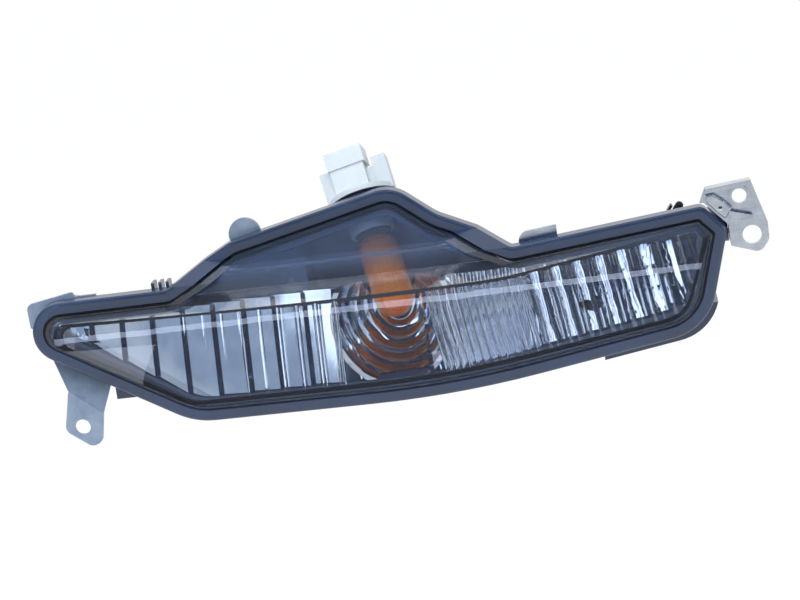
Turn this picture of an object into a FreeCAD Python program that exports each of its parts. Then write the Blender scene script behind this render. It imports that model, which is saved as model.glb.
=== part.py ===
import FreeCAD, Part
import math
import os
import re

import Sketcher
from FreeCAD import Placement, Rotation, Vector

# Front-bumper indicator lamp. Lamp frame: X to the right seen from the front, Y to the back, Z up, in mm.
# Every finished piece is moved so that the outer bolt hole, on the bracket's front face, is the origin.

doc = FreeCAD.newDocument("IndicatorLamp")
sheet = doc.addObject("Spreadsheet::Sheet", "Sizes")

SIZES = [
    # outline of the rim, seen from the front
    ("rim_top", 17.8),
    ("left_end_x", -169.3),
    ("left_end_radius", 14),
    ("underside_angle", 31),
    ("heel_x", -101),
    ("heel_radius", 35),
    ("keel_x", 20),
    ("keel_z", -46.5),
    ("keel_radius", 500),
    ("lower_corner_x", 136),
    ("lower_corner_z", -29.4),
    ("lower_corner_radius", 26),
    ("end_corner_x", 149.1),
    ("end_corner_z", 15.5),
    ("upper_corner_x", 139),
    ("upper_corner_z", 26.7),
    ("upper_corner_radius", 5),
    ("bend_x", 45),
    ("bend_radius", 200),
    # outline of the hump that carries the bulb holder
    ("hump_left_x", -105),
    ("hump_right_x", 53),
    ("hump_foot_radius", 4),
    ("shoulder_x", -76),
    ("shoulder_z", 33),
    ("shoulder_radius", 9),
    ("peak_x", 1),
    ("peak_z", 50),
    ("peak_radius", 17),
    ("saddle_x", 20),
    ("saddle_z", 34.5),
    ("saddle_radius", 20),
    # how far the hump's rim stands back, and the heights between which it steps back
    ("hump_setback", 17),
    ("setback_start_z", 18.9),
    ("setback_end_z", 26),
    # rim, sealing channel and lens foot, measured inwards from the rim's outer edge
    ("rim_width", 5),
    ("rim_depth", 9),
    ("rim_round", 1.6),
    ("channel_far", 10),
    ("channel_floor", 7),
    ("channel_wall", 2),
    ("channel_wall_front", 3),
    ("seal_front", 2.5),
    ("foot_inset", 6.3),
    ("foot_back", 6),
    # lens
    ("lens_wall", 2.4),
    ("lens_depth", 17.5),
    ("lens_mid_z", -11),
    ("lens_apex_x", -10),
    ("lens_rake", 13.3),
    ("lens_bevel", 19),
    ("lens_plan_radius", 2200),
    ("lens_face_radius", 160),
    ("step_y", 5),
    ("step_lean", 2.5),
    ("step_z", 22),
    ("ledge_depth", 3.5),
    ("ledge_rise", 1.5),
    ("hump_face_lean", 4),
    # ribs and flutes inside the lens
    ("rib_start_x", -97),
    ("rib_pitch", 8.6),
    ("rib_count", 9),
    ("rib_width", 3.2),
    ("rib_height", 1.3),
    ("flute_start_x", 15),
    ("flute_count", 13),
    ("flute_first_pitch", 2.6),
    ("flute_last_pitch", 4.4),
    ("flute_height", 0.8),
    ("column_pitch", 9.7),
    ("column_count", 8),
    ("column_height", 1.5),
    ("column_lean", 9),
    # housing
    ("shell_inset", 9.5),
    ("shell_wall", 2.5),
    ("shell_back", 28.5),
    ("shell_chamfer", 4),
    ("chamber_left_x", -46),
    ("chamber_right_x", 30),
    ("chamber_back", 52),
    ("chamber_round", 10),
    ("bulge_inset", 3.2),
    ("bulge_right", 4),
    ("bulge_drop", 6),
    ("bulge_left_x", 88),
    ("bulge_top_z", -19),
    ("stop_left", 36),
    ("stop_low_z", -31.8),
    ("stop_width", 18),
    ("stop_depth", 12),
    ("stop_height", 12),
    ("top_rib_count", 3),
    ("top_rib_left", 8),
    ("top_rib_pitch", 3.4),
    ("top_rib_width", 1.5),
    ("top_rib_depth", 8),
    ("top_rib_rise", 2.5),
    # reflector
    ("reflector_gap", 0.4),
    ("reflector_front", 2.5),
    ("reflector_back", 19),
    ("bowl_x", -4.4),
    ("bowl_z", -9),
    ("bowl_vertex_y", 35),
    ("bowl_focus", 10),
    ("bowl_radius", 27),
    ("bowl_wall", 2.2),
    ("bowl_rings", 7),
    ("bowl_ring_height", 0.3),
    ("facet_left_x", -158),
    ("facet_count", 9),
    ("facet_depth", 4),
    ("facet_step", 0.9),
    ("facet_tooth", 2.6),
    ("reed_count", 12),
    ("reed_depth", 13),
    ("reed_step", 0.25),
    ("reed_bulge", 0.9),
    ("pillow_rows", 5),
    ("pillow_height", 9),
    ("pillow_low_z", -36),
    ("pillow_depth", 8.5),
    ("pillow_step", 0.4),
    ("pillow_bulge", 2.2),
    ("pillow_setback", 1.1),
    ("pin_x", 87.5),
    ("pin_z", -12.8),
    ("pin_radius", 2.2),
    # bulb and its holder, along the holder's axis upwards from the middle of the bulb
    ("bulb_x", -4.4),
    ("bulb_y", 21.9),
    ("bulb_z", -4.4),
    ("holder_lean", 13),
    ("holder_tilt", 25),
    ("glass_radius", 9.5),
    ("glass_tip", -8),
    ("glass_shoulder", 28),
    ("glass_neck", 32.2),
    ("glass_neck_radius", 6.5),
    ("glass_wall", 0.9),
    ("bulb_base_bottom", 32.5),
    ("bulb_base_length", 11),
    ("bulb_base_width", 14.5),
    ("bulb_base_depth", 6.6),
    ("collar_bottom", 30),
    ("collar_top", 50),
    ("collar_radius", 15.2),
    ("collar_bore", 10.9),
    ("collar_lip", 3),
    ("collar_recess", 13),
    ("holder_radius", 10.5),
    ("holder_bottom", 34.5),
    ("holder_disc_bottom", 51.6),
    ("holder_disc_thick", 2.4),
    ("holder_disc_radius", 15.4),
    ("lug_radius", 12.4),
    ("lug_width", 5),
    ("lug_thick", 3),
    ("lug_count", 3),
    ("cup_radius", 8.8),
    ("cup_depth", 10),
    ("seal_inner", 11.3),
    ("seal_outer", 14.2),
    ("seal_gap", 0.1),
    ("filament_z", 4),
    ("filament_length", 6),
    ("filament_radius", 0.6),
    ("lead_radius", 0.4),
    ("lead_spacing", 5),
    ("connector_top", 76),
    ("connector_offset", -2.2),
    ("connector_width", 18),
    ("connector_depth", 12.5),
    ("connector_wall", 1.7),
    ("connector_pocket", 14),
    ("connector_head", 8.4),
    ("left_wing_width", 5.4),
    ("left_wing_top", 68.4),
    ("right_wing_width", 6.8),
    ("right_wing_gap", 2.4),
    ("right_wing_top", 68.4),
    ("wing_depth", 7),
    ("blade_width", 2.8),
    ("blade_thick", 0.8),
    ("blade_spacing", 6),
    ("blade_length", 7),
    # outer bracket, measured from its lower bolt hole
    ("bolt_x", 159.6),
    ("bolt_y", 4),
    ("bolt_z", 10.8),
    ("bolt_radius", 4.25),
    ("sheet_thick", 2),
    ("plate_left", -9.8),
    ("plate_low_left", -4),
    ("plate_foot", 3),
    ("plate_bottom", -8.4),
    ("plate_right", 7.4),
    ("plate_low_right", -3),
    ("plate_high_right", 5),
    ("plate_top_right", 1.5),
    ("plate_top", 25.5),
    ("plate_ear", -18.6),
    ("plate_ear_top", 23.6),
    ("plate_ear_left", -21.8),
    ("plate_ear_low", 16.7),
    ("plate_chamfer", -19.8),
    ("plate_chamfer_low", 5.6),
    ("plate_round", 4),
    ("second_hole_x", -3.9),
    ("second_hole_z", 18.1),
    ("second_hole_radius", 3.3),
    ("coin_radius", 4.7),
    ("coin_height", 0.5),
    ("flange_top", 12),
    ("flange_bottom", -4),
    ("flange_inner", -7.8),
    ("flange_length", 22),
    ("flange_screw_y", 13),
    ("flange_screw_low", 0),
    ("flange_screw_high", 8),
    ("flange_screw_bore", 1.8),
    ("hem_length", 5),
    ("hem_top_right", 23.5),
    ("hem_top_left", 21.6),
    ("gusset_left", -9.2),
    ("gusset_right", 0.9),
    ("gusset_low", 7.2),
    ("gusset_high", 9.4),
    ("gusset_root", 12.4),
    ("gusset_reach", 3.4),
    ("tongue_left", -18.5),
    ("tongue_left_top", 20.2),
    ("tongue_left_low", 17.1),
    ("tongue_crown", -15.3),
    ("tongue_crown_top", 20.6),
    ("tongue_mid", -11),
    ("tongue_mid_top", 17.4),
    ("tongue_mid_low", 8.9),
    ("tongue_right", -7.6),
    ("tongue_right_top", 13.6),
    ("tongue_foot", -13.9),
    ("tongue_foot_low", 11.7),
    ("tongue_rise", 2.6),
    ("tongue_round", 0.8),
    ("slot_left", -13.6),
    ("slot_right", -11.9),
    ("slot_low", 12.8),
    ("slot_high", 14.8),
    # inner bracket
    ("leg_hole_x", -153.7),
    ("leg_hole_z", -41.6),
    ("leg_hole_radius", 3.6),
    ("leg_plate_y", 2.5),
    ("leg_root_start", -0.5),
    ("leg_root_length", 29),
    ("leg_root_out", 2),
    ("leg_bend_left", -4.1),
    ("leg_bend_left_up", 17.6),
    ("leg_bend_right", 10.5),
    ("leg_bend_right_up", 5.2),
    ("leg_left", -8.3),
    ("leg_left_down", -1),
    ("leg_low", 3.2),
    ("leg_low_down", -9.9),
    ("leg_right", 8.1),
    ("leg_right_down", -7.9),
    ("leg_round", 4),
    ("bracket_gap", 0.3),
    # tabs and clip
    ("tab_left_x", 56),
    ("tab_right_x", 73.5),
    ("tab_base_z", 11.3),
    ("tab_top_left_z", 23),
    ("tab_top_right_z", 24.8),
    ("tab_round", 4.5),
    ("round_tab_x", -69.5),
    ("round_tab_z", 34.6),
    ("round_tab_radius", 7.5),
    ("clip_x", 123.5),
    ("clip_y", 19),
    ("clip_width", 8),
    ("clip_depth", 5),
    ("clip_foot", 2.2),
    ("clip_lean", 35),
    ("clip_pin_x", 0.8),
    ("clip_pin_radius", 1.9),
    ("clip_pin_length", 8.5),
    ("clip_plate_thick", 1.2),
    ("clip_plate_length", 10),
    ("clip_seat", 1),
    # screws
    ("screw_radius", 1.5),
    ("screw_head_radius", 3.1),
    ("screw_head_height", 2.2),
    ("screw_length", 9),
]

for row, (name, value) in enumerate(SIZES, start=1):
    sheet.set("A%d" % row, name)
    sheet.set("B%d" % row, str(value))
    sheet.setAlias("B%d" % row, name)
doc.recompute()


def size(name):
    return float(sheet.get(name))


def degrees_tan(name):
    return math.tan(math.radians(size(name)))


# Outlines are lists of (x, z) corners, anticlockwise seen from the front, with a radius for each corner.

def tip_corner():
    """The sharp corner that the rounded left end is drawn in."""
    reach = size("left_end_radius") / math.tan(math.radians(size("underside_angle") / 2))
    return size("left_end_x") + size("left_end_radius") - reach, size("rim_top")


def lower_corners():
    """Corners from the left tip round the underside to the top of the right end."""
    tip = tip_corner()
    heel_z = tip[1] - (size("heel_x") - tip[0]) * degrees_tan("underside_angle")
    return [
        (tip, size("left_end_radius")),
        ((size("heel_x"), heel_z), size("heel_radius")),
        ((size("keel_x"), size("keel_z")), size("keel_radius")),
        ((size("lower_corner_x"), size("lower_corner_z")), size("lower_corner_radius")),
        ((size("end_corner_x"), size("end_corner_z")), size("upper_corner_radius")),
        ((size("upper_corner_x"), size("upper_corner_z")), size("upper_corner_radius")),
    ]


def top_right_z(x):
    """Height of the rim's rising top edge on the right."""
    rise = size("upper_corner_z") - size("rim_top")
    return size("rim_top") + rise * (x - size("bend_x")) / (size("upper_corner_x") - size("bend_x"))


def main_outline():
    return lower_corners() + [((size("bend_x"), size("rim_top")), size("bend_radius"))]


def whole_outline():
    """The rim outline with the hump."""
    foot = size("hump_foot_radius")
    return lower_corners() + [
        ((size("hump_right_x"), top_right_z(size("hump_right_x"))), foot),
        ((size("saddle_x"), size("saddle_z")), size("saddle_radius")),
        ((size("peak_x"), size("peak_z")), size("peak_radius")),
        ((size("shoulder_x"), size("shoulder_z")), size("shoulder_radius")),
        ((size("hump_left_x"), size("rim_top")), foot),
    ]


def unit(start, end):
    length = math.hypot(end[0] - start[0], end[1] - start[1])
    return (end[0] - start[0]) / length, (end[1] - start[1]) / length


def inset_outline(outline, inset):
    """Move every side inwards by the inset and adjust the radii to stay parallel."""
    smallest = 0.3
    moved = []
    for i, (here, radius) in enumerate(outline):
        before = outline[i - 1][0]
        after = outline[(i + 1) % len(outline)][0]
        ax, az = unit(before, here)
        bx, bz = unit(here, after)
        share = inset / (1 + ax * bx + az * bz)
        corner = (here[0] - (az + bz) * share, here[1] + (ax + bx) * share)
        convex = ax * bz - az * bx > 0
        moved.append((corner, max(radius - inset, smallest) if convex else radius + inset))
    return moved


def outline_wire(outline, y):
    """Closed wire of lines and corner arcs in the plane at depth y."""
    arcs = []
    for i, (here, radius) in enumerate(outline):
        ax, az = unit(outline[i - 1][0], here)
        bx, bz = unit(here, outline[(i + 1) % len(outline)][0])
        turn = math.atan2(ax * bz - az * bx, ax * bx + az * bz)
        reach = radius * math.tan(abs(turn) / 2)
        start = (here[0] - ax * reach, here[1] - az * reach)
        end = (here[0] + bx * reach, here[1] + bz * reach)
        side = math.copysign(radius, turn)
        centre = (start[0] - az * side, start[1] + ax * side)
        dx, dz = unit(centre, here)
        middle = (centre[0] + dx * radius, centre[1] + dz * radius)
        arcs.append([Vector(p[0], y, p[1]) for p in (start, middle, end)])
    edges = []
    for i, (start, middle, end) in enumerate(arcs):
        edges.append(Part.Arc(start, middle, end).toShape())
        edges.append(Part.makeLine(end, arcs[(i + 1) % len(arcs)][0]))
    return Part.Wire(edges)


def prism(outline, inset, near, far):
    """Solid of an inset outline between two depths."""
    wire = outline_wire(inset_outline(outline, inset), near)
    return Part.Face(wire).extrude(Vector(0, far - near, 0))


def ring(outline, outer, inner, near, far):
    return prism(outline, outer, near, far).cut(prism(outline, inner, near - 1, far + 1))


def tapered(outline, sections):
    """Ruled solid through inset outlines, sections given as (inset, depth)."""
    wires = [outline_wire(inset_outline(outline, inset), y) for inset, y in sections]
    return Part.makeLoft(wires, True, True)


def side_solid(profile, left, right):
    """Solid of a closed (y, z) profile between two x positions."""
    points = [Vector(left, y, z) for y, z in profile]
    wire = Part.makePolygon(points + points[:1])
    return Part.Face(wire).extrude(Vector(right - left, 0, 0))


REACH = 400
LOW, HIGH = -120, 120


def slab(near, far):
    """Layer between two distances behind the rim's front, stepping back with the hump."""
    back = size("hump_setback")
    start, end = size("setback_start_z"), size("setback_end_z")
    left = size("hump_left_x") - 4
    right = size("hump_right_x") + 1
    flat = Part.makeBox(2 * REACH, far - near, HIGH - LOW, Vector(-REACH, near, LOW))
    flat = flat.cut(Part.makeBox(right - left, far - near + 2, HIGH, Vector(left, near - 1, LOW / 12)))
    path = [(0, LOW / 12), (0, start), (back, end), (back, HIGH + LOW / 12)]
    profile = [(y + near, z) for y, z in path] + [(y + far, z) for y, z in reversed(path)]
    return flat.fuse(side_solid(profile, left, right))


def lens_front(depth_shift):
    """Everything behind the lens's raked, gently domed front face."""
    rake = math.radians(size("lens_rake"))
    radius = size("lens_face_radius")
    nose = (depth_shift - size("lens_depth"), size("lens_mid_z"))
    centre = (nose[0] + radius * math.cos(rake), nose[1] - radius * math.sin(rake))
    sweep = math.radians(18)
    arc = []
    for angle in (rake - sweep, rake, rake + sweep):
        arc.append(Vector(0, centre[0] - radius * math.cos(angle), centre[1] + radius * math.sin(angle)))
    back = 60
    edges = [
        Part.Arc(*arc).toShape(),
        Part.makeLine(arc[2], Vector(0, back, arc[2].z)),
        Part.makeLine(Vector(0, back, arc[2].z), Vector(0, back, arc[0].z)),
        Part.makeLine(Vector(0, back, arc[0].z), arc[0]),
    ]
    face = Part.Face(Part.Wire(edges))
    face.translate(Vector(size("lens_apex_x"), 0, 0))
    pivot = Vector(size("lens_apex_x"), size("lens_plan_radius") - size("lens_depth"), 0)
    spread = 6
    face.rotate(pivot, Vector(0, 0, 1), -spread)
    return face.revolve(pivot, Vector(0, 0, 1), 2 * spread)


def inner_face_y(x):
    """Depth of the lens's plain inner face at mid height."""
    radius = size("lens_plan_radius")
    away = x - size("lens_apex_x")
    return size("lens_wall") - size("lens_depth") + radius - math.sqrt(radius * radius - away * away)


def comb(stations, lean, rake):
    """Solid behind a row of bars. Stations are (x, depth, bulge): the bulge belongs to the stretch after it."""
    reach = 60
    slope = Vector(-math.tan(math.radians(lean)), math.tan(math.radians(rake)), 1)
    foot = Vector(0, 0, size("lens_mid_z")) - slope * reach
    edges = []
    for (x0, y0, bulge), (x1, y1, _) in zip(stations, stations[1:]):
        start = Vector(x0, y0, 0) + foot
        end = Vector(x1, y1, 0) + foot
        if bulge:
            middle = Vector((x0 + x1) / 2, (y0 + y1) / 2 + bulge, 0) + foot
            edges.append(Part.Arc(start, middle, end).toShape())
        else:
            edges.append(Part.makeLine(start, end))
    first = Vector(stations[0][0], stations[0][1], 0) + foot
    last = Vector(stations[-1][0], stations[-1][1], 0) + foot
    deep = Vector(0, 120, 0)
    edges.append(Part.makeLine(last, last + deep))
    edges.append(Part.makeLine(last + deep, first + deep))
    edges.append(Part.makeLine(first + deep, first))
    return Part.Face(Part.Wire(edges)).extrude(slope * (2 * reach))


def flute_edges():
    """X positions of the fine flutes, which widen to the right, then of the wide columns."""
    x = size("flute_start_x")
    edges = [x]
    count = int(size("flute_count"))
    growth = (size("flute_last_pitch") - size("flute_first_pitch")) / (count - 1)
    for i in range(count):
        x += size("flute_first_pitch") + growth * i
        edges.append(x)
    return edges


CLEAR = 1.2


def rib_stations():
    """Left half of the lens: plain wall with narrow upright ribs."""
    stations = [(-REACH / 2, inner_face_y(-REACH / 2), 0)]
    half = size("rib_width") / 2
    for i in range(int(size("rib_count"))):
        x = size("rib_start_x") + i * size("rib_pitch")
        stations.append((x - half, inner_face_y(x - half), size("rib_height")))
        stations.append((x + half, inner_face_y(x + half), 0))
    end = size("flute_start_x") - 4
    stations.append((end, inner_face_y(end), 0))
    stations.append((end + 3, inner_face_y(end + 3) - CLEAR, 0))
    stations.append((REACH / 2, inner_face_y(REACH / 2) - CLEAR, 0))
    return stations


def flute_stations():
    """Right half of the lens: fine flutes, then wide leaning columns."""
    start = size("flute_start_x")
    stations = [(-REACH / 2, inner_face_y(-REACH / 2) - CLEAR, 0)]
    stations.append((start - 6, inner_face_y(start - 6) - CLEAR, 0))
    edges = flute_edges()
    for x in edges[:-1]:
        stations.append((x, inner_face_y(x), size("flute_height")))
    for i in range(int(size("column_count"))):
        x = edges[-1] + i * size("column_pitch")
        stations.append((x, inner_face_y(x), size("column_height")))
    end = edges[-1] + size("column_count") * size("column_pitch")
    stations.append((end, inner_face_y(end), 0))
    stations.append((REACH / 2, inner_face_y(REACH / 2), 0))
    return stations


def hump_profile(offset):
    """Side profile of the hump's two stepped faces, moved inwards by the offset."""
    bevel = degrees_tan("lens_bevel")
    base_z = size("rim_top") - size("foot_inset") + (size("step_y")) * bevel
    low = (size("step_y"), base_z)
    mid = (size("step_y") + size("step_lean"), size("step_z"))
    ledge = (mid[0] + size("ledge_depth"), mid[1] + size("ledge_rise"))
    top = (ledge[0] + size("hump_face_lean"), 60)
    drop = 8
    start = (low[0] - drop * (mid[0] - low[0]) / (mid[1] - low[1]), low[1] - drop)
    path = [start, mid, ledge, top]
    lines = []
    for a, b in zip(path, path[1:]):
        dy, dz = unit(a, b)
        lines.append(((a[0] + dz * offset, a[1] - dy * offset), (dy, dz)))
    points = [lines[0][0]]
    for (p, d), (q, e) in zip(lines, lines[1:]):
        along = ((q[0] - p[0]) * e[1] - (q[1] - p[1]) * e[0]) / (d[0] * e[1] - d[1] * e[0])
        points.append((p[0] + d[0] * along, p[1] + d[1] * along))
    dy, dz = lines[-1][1]
    points.append((points[-1][0] + dy * 45, points[-1][1] + dz * 45))
    return points


def hump_solid(offset, back):
    """Everything behind the hump's faces as far as the given depth."""
    path = hump_profile(offset)
    profile = path + [(back, path[-1][1]), (back, path[0][1])]
    return side_solid(profile, size("hump_left_x"), size("hump_right_x"))


def lens_block(inset, depth_shift, combs):
    """Filled lens form: bevelled main block behind its front face, and the stepped hump."""
    bevel = degrees_tan("lens_bevel")
    back, front = 9, -27
    sections = [(inset - back * bevel, back), (inset - front * bevel, front)]
    main = tapered(main_outline(), sections)
    main = main.common(lens_front(depth_shift)) if not combs else main
    for row in combs:
        main = main.common(row)
    hump_back = 30 if combs else 26
    block = main.fuse(hump_solid(size("lens_wall") if combs else 0, hump_back))
    return block.common(prism(whole_outline(), inset, -40, 60))


def make_lens():
    wall = size("lens_wall")
    outer = size("foot_inset")
    inner = outer + wall
    combs = [
        comb(rib_stations(), 0, size("lens_rake")),
        comb(flute_stations(), size("column_lean"), size("lens_rake")),
    ]
    shell = lens_block(outer, 0, []).cut(lens_block(inner, wall, combs))
    behind = prism(whole_outline(), inner, size("hump_setback") + 6, 70)
    shell = shell.cut(behind)
    foot = ring(whole_outline(), outer, inner, -40, 80).common(slab(-1.2, size("foot_back")))
    over = ring(whole_outline(), outer - 2, inner + 0.6, -40, 90).common(slab(size("foot_back"), 60))
    return shell.fuse(foot).cut(over).removeSplitter()


def holder_turn():
    """Rotation that lays local Z along the bulb holder's axis, and local X along its connector."""
    lean = Rotation(Vector(0, 1, 0), -size("holder_lean"))
    return lean.multiply(Rotation(Vector(1, 0, 0), -size("holder_tilt")))


def lamp_origin():
    return Vector(-size("bolt_x"), -size("bolt_y"), -size("bolt_z"))


def lamp_placement():
    """Moves a piece drawn in the lamp frame to the outer bolt hole."""
    return Placement(lamp_origin(), Rotation())


def axis_placement():
    """Moves a piece drawn along local Z onto the bulb holder's axis."""
    middle = Vector(size("bulb_x"), size("bulb_y"), size("bulb_z"))
    return Placement(middle + lamp_origin(), holder_turn())


def on_axis(shape):
    """A shape drawn along local Z, in the lamp frame."""
    middle = Vector(size("bulb_x"), size("bulb_y"), size("bulb_z"))
    return shape.transformGeometry(Placement(middle, holder_turn()).toMatrix())


def along_axis(radius, low, high):
    """Cylinder on the holder's axis between two stations, in the lamp frame."""
    middle = Vector(size("bulb_x"), size("bulb_y"), size("bulb_z"))
    up = holder_turn().multVec(Vector(0, 0, 1))
    return Part.makeCylinder(radius, high - low, middle + up * low, up)


def rod(radius, start, direction, length):
    return Part.makeCylinder(radius, length, start, direction)


X_AXIS = Vector(1, 0, 0)
Y_AXIS = Vector(0, 1, 0)


def bracket_screw_points():
    """Where the outer bracket's screws meet its flange, in the lamp frame."""
    x = size("bolt_x") + size("plate_left")
    y = size("bolt_y") + size("flange_screw_y")
    return [Vector(x, y, size("bolt_z") + size(n)) for n in ("flange_screw_low", "flange_screw_high")]


def leg_screw_points():
    """Where the inner bracket's screws enter the back of the rim."""
    x = size("left_end_x") + size("left_end_radius")
    inset = size("rim_width") / 2
    tip = tip_corner()
    low_x = x + 13
    low_z = tip[1] - (low_x - tip[0]) * degrees_tan("underside_angle")
    low_z += inset / math.cos(math.radians(size("underside_angle")))
    return [Vector(x + 6, size("rim_depth"), size("rim_top") - inset), Vector(low_x, size("rim_depth"), low_z)]


def tab_screw_point():
    x = (size("tab_left_x") + size("tab_right_x")) / 2
    return Vector(x, size("rim_depth"), top_right_z(x) - size("rim_width") / 2)


def round_tab_screw_point():
    x = size("round_tab_x")
    rise = (size("peak_z") - size("shoulder_z")) / (size("peak_x") - size("shoulder_x"))
    z = size("shoulder_z") + rise * (x - size("shoulder_x")) - size("rim_width") / 2 - 0.4
    return Vector(x, size("hump_setback") + size("rim_depth"), z)


def shell_form(inset, back, chamfer, front):
    """Filled form of the housing behind the rim, with a chamfered back edge."""
    sections = [(inset, front), (inset, back - chamfer), (inset + chamfer, back)]
    return tapered(whole_outline(), sections)


def chamber_form(inset, grow):
    """Filled form of the deep middle of the housing, round the bowl and the bulb."""
    left, right = size("chamber_left_x") + grow, size("chamber_right_x") - grow
    low, high = -90, 90
    corner = size("chamber_round") - grow
    corners = [(left, low), (right, low), (right, high), (left, high)]
    block = prism([(c, corner) for c in corners], 0, 12, size("chamber_back") - grow)
    sections = [(inset, 12), (inset, size("chamber_back") - grow - 5), (inset + 5, size("chamber_back") - grow)]
    return block.common(tapered(whole_outline(), sections))


def rounded_prism(near, far):
    """The whole outline between two depths, with its front edge rounded."""
    form = prism(whole_outline(), 0, near, far)
    edges = [edge for edge in form.Edges if abs(edge.BoundBox.YMax - near) < 0.01]
    return form.makeFillet(size("rim_round"), edges)


def rim_envelope():
    """Outer form of the rim, rounded along its front edge below the hump and along the hump's own front edge."""
    step, far = size("setback_end_z"), 80
    low = Part.makeBox(2 * REACH, far, step + REACH, Vector(-REACH, 0, -REACH))
    high = Part.makeBox(2 * REACH, far, REACH, Vector(-REACH, 0, step))
    right = size("hump_right_x") + 1
    beside = Part.makeBox(REACH, far, REACH, Vector(right, 0, step))
    high = high.cut(beside)
    low = low.fuse(beside)
    hump = rounded_prism(size("hump_setback"), far).common(high)
    return rounded_prism(0, far).common(low).fuse(hump)


def make_housing():
    whole = whole_outline()
    wall = size("shell_wall")
    channel_in = size("channel_far") + size("channel_wall")
    rim = rim_envelope().cut(prism(whole, channel_in, -5, 90)).common(slab(0, size("rim_depth")))
    groove = ring(whole, size("rim_width"), size("channel_far"), -20, 90).common(slab(-1, size("channel_floor")))
    spill = 0.5
    low_wall = ring(whole, size("channel_far") - spill, channel_in + spill, -20, 90)
    groove = groove.fuse(low_wall.common(slab(-1, size("channel_wall_front"))))
    shell = shell_form(size("shell_inset"), size("shell_back"), size("shell_chamfer"), 0)
    shell = shell.fuse(chamber_form(size("shell_inset"), 0))
    shell = shell.common(slab(size("channel_floor"), 80))
    body = rim.fuse(shell)
    body = body.fuse(along_axis(size("collar_radius"), size("collar_bottom"), size("collar_top")))
    body = body.fuse(lower_bulge())
    body = body.fuse(end_bosses())
    body = body.fuse(top_ribs()).fuse(clip_seat())
    inner = size("shell_inset") + wall
    deep = size("shell_back") - wall
    hollow = prism(whole, inner, -6, deep - size("shell_chamfer"))
    hollow = hollow.fuse(prism(whole, inner + wall / 2, 0, deep))
    hollow = hollow.fuse(chamber_form(inner, wall))
    recess_top = size("collar_top") - size("collar_lip")
    hollow = hollow.fuse(along_axis(size("collar_recess"), size("collar_bottom") - 14, recess_top))
    hollow = hollow.fuse(along_axis(size("collar_bore"), recess_top - 1, size("collar_top") + 20))
    body = body.cut(hollow).cut(groove)
    body = body.cut(hump_clearance())
    for notch in lug_notches():
        body = body.cut(notch)
    for hole in screw_holes():
        body = body.cut(hole)
    return body.fuse(pin_boss()).removeSplitter()


def hump_clearance():
    """Space in front of the hump's inner faces, inside its foot, with clearance."""
    path = hump_profile(size("lens_wall") + 0.5)
    profile = path + [(-30, path[-1][1]), (-30, path[0][1])]
    space = side_solid(profile, size("hump_left_x") - 2, size("hump_right_x") + 2)
    inside = size("foot_inset") + size("lens_wall") + size("bracket_gap")
    return space.common(prism(whole_outline(), inside, -40, 90))


def lower_bulge():
    """Deeper body of the housing showing below the rim at the right, and the block beside the leg."""
    near = size("rim_depth") - 0.5
    bulge = prism(main_outline(), size("bulge_inset"), near, size("shell_back") - size("shell_wall"))
    bulge.translate(Vector(size("bulge_right"), 0, -size("bulge_drop")))
    corner = Vector(size("bulge_left_x"), 0, size("bulge_top_z") - REACH)
    span = Part.makeBox(REACH, REACH, REACH, corner)
    seat = Vector(size("heel_x") - size("stop_left"), near, size("stop_low_z"))
    block = Part.makeBox(size("stop_width"), size("stop_depth"), size("stop_height"), seat)
    return bulge.common(span).fuse(block)


def end_bosses():
    """Round bosses that the outer bracket's flange is screwed to."""
    bosses = []
    length = 18
    for point in bracket_screw_points():
        bosses.append(rod(4.2, point - X_AXIS * length, X_AXIS, length - size("bracket_gap")))
    return bosses[0].fuse(bosses[1:])


def top_ribs():
    """Three short ribs behind the rim's top edge, left of the hump."""
    ribs = []
    low = size("rim_top") - size("shell_inset") + 1
    high = size("rim_top") + size("top_rib_rise")
    for i in range(int(size("top_rib_count"))):
        corner = Vector(size("hump_left_x") - size("top_rib_left") + size("top_rib_pitch") * i,
                        size("rim_depth") - 0.5, low)
        ribs.append(Part.makeBox(size("top_rib_width"), size("top_rib_depth"), high - low, corner))
    return ribs[0].fuse(ribs[1:])


def clip_seat_z():
    return top_right_z(size("clip_x")) - size("shell_inset") + size("clip_seat")


def clip_seat():
    """Flat pad on the top wall under the retaining clip."""
    width, depth = size("clip_width") + 3, size("clip_depth") + 3
    low = 6
    corner = Vector(size("clip_x") - width / 2, size("clip_y") - depth / 2, clip_seat_z() - low)
    return Part.makeBox(width, depth, low, corner)


def lug_notches():
    """Entry notches for the holder's lugs, an eighth of a turn from where the lugs lock."""
    notches = []
    width = size("lug_width") + 0.8
    low = size("collar_top") - size("collar_lip") - 0.5
    for i in range(int(size("lug_count"))):
        notch = Part.makeBox(size("lug_radius") + 0.4, width, size("collar_lip") + 2, Vector(0, -width / 2, low))
        notch.rotate(Vector(0, 0, 0), Vector(0, 0, 1), 45 + i * 360 / size("lug_count"))
        notches.append(on_axis(notch))
    return notches


def screw_holes():
    """Pilot holes for every screw, with a little play round the shank."""
    holes = []
    radius = size("screw_radius") + 0.15
    deep = size("screw_length") - size("sheet_thick") + 0.6
    for point in bracket_screw_points():
        holes.append(rod(radius, point - X_AXIS * deep, X_AXIS, deep + 1))
    for point in leg_screw_points() + [tab_screw_point(), round_tab_screw_point()]:
        holes.append(rod(radius, point - Y_AXIS * deep, Y_AXIS, deep + 1))
    return holes


def pin_boss():
    """Boss on the back wall that takes the reflector's pin."""
    start = Vector(size("pin_x"), size("reflector_back") + 0.4, size("pin_z"))
    length = size("shell_back") - size("shell_wall") + 0.5 - start.y
    boss = rod(size("pin_radius") + 2.4, start, Y_AXIS, length)
    return boss.cut(rod(size("pin_radius") - 0.5, start - Y_AXIS, Y_AXIS, length + 0.5))


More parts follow.
